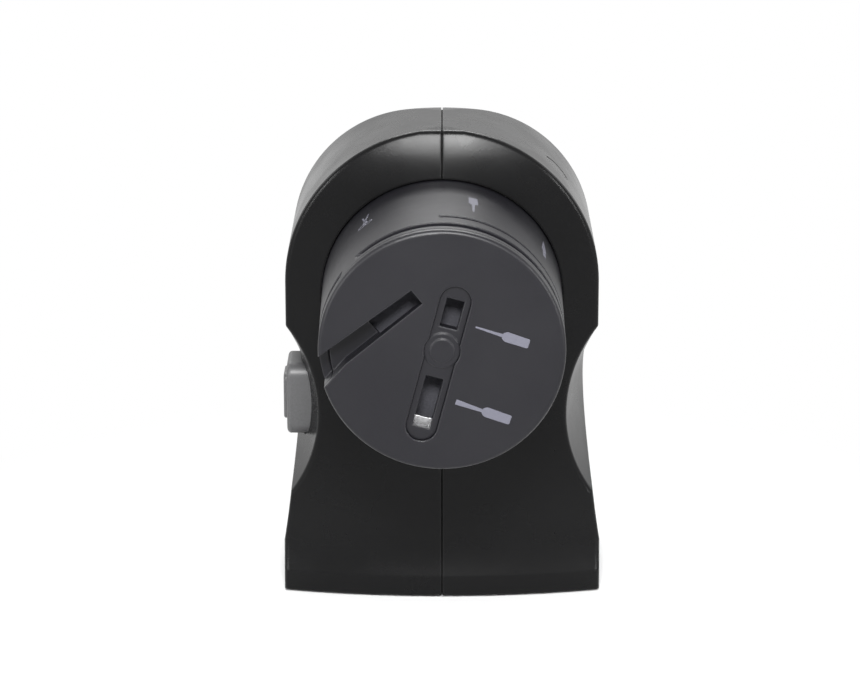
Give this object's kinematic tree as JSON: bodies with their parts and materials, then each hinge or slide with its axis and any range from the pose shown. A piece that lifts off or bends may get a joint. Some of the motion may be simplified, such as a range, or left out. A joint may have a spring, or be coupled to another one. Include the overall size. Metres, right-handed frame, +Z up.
{
  "type": "electric knife sharpener",
  "caption": "Upright kitchen sharpener: black clamshell housing, large rotating grey turret with blade and screwdriver slots, side push button and a motor-driven grinding wheel.",
  "frame": {"origin": "on the floor under the middle of the whole object, on the seam between the housing halves", "axes": "+X right, +Y to the back (the turret points to -Y), +Z up"},
  "size_m": [0.0987, 0.148, 0.147],
  "materials": {
    "black_shell": "satin black moulded plastic",
    "grey_turret": "satin dark grey moulded plastic",
    "button_grey": "mid grey moulded plastic",
    "inner_plastic": "plain moulded plastic",
    "foot_rubber": "soft black rubber",
    "steel": "bright steel",
    "cast_alloy": "die-cast alloy",
    "copper": "enamelled copper",
    "brass": "plain brass",
    "carbon": "pressed carbon",
    "abrasive": "fine grey abrasive"
  },
  "bodies": {
    "housing": {"left_housing": "black_shell", "right_housing": "black_shell", "rubber_feet": "foot_rubber", "housing_screws": "steel", "cord_inlet_bush": "foot_rubber", "turret_bearing_plate": "inner_plastic", "shaft_tube": "inner_plastic", "motor_front_bracket": "cast_alloy", "motor_rear_bracket": "cast_alloy", "front_bearing": "steel", "rear_bearing": "steel", "stator_core": "steel", "field_coils": "copper", "brush_holders": "brass", "carbon_brushes": "carbon", "brush_springs": "steel", "switch_body": "inner_plastic", "button_spring": "steel"},
    "turret": {"turret_ring": "grey_turret", "turret_face": "grey_turret", "screwdriver_guide": "grey_turret", "guide_rest": "steel", "blade_guide": "grey_turret", "scissor_guide": "grey_turret"},
    "rotor": {"grinding_wheel": "abrasive", "motor_shaft": "steel", "wheel_nut": "steel", "wheel_flange": "cast_alloy", "armature_core": "steel", "armature_winding": "copper", "commutator": "copper", "cooling_fan": "inner_plastic"},
    "button": {"power_button": "button_grey"},
    "plunger": {"switch_plunger": "inner_plastic"}
  },
  "joints": [
    {"name": "turret_turn", "type": "hinge", "parent": "housing", "child": "turret", "pos_m": [0, 0, 0.0957], "axis": [0, 1, 0], "range_deg": [-56.7, 39]},
    {"name": "motor_spin", "type": "hinge", "parent": "housing", "child": "rotor", "pos_m": [0, 0, 0.0957], "axis": [0, 1, 0], "continuous": true},
    {"name": "button_press", "type": "slide", "parent": "housing", "child": "button", "axis": [1, 0, 0], "range_m": [0, 0.0025], "stiffness_N_per_m": 300, "deforming": ["button_spring"]},
    {"name": "plunger_slide", "type": "slide", "parent": "housing", "child": "plunger", "axis": [1, 0, 0], "range_m": [0, 0.0025]}
  ],
  "couplings": [
    {"joint": "plunger_slide", "follows": "button_press", "ratio": 1}
  ]
}
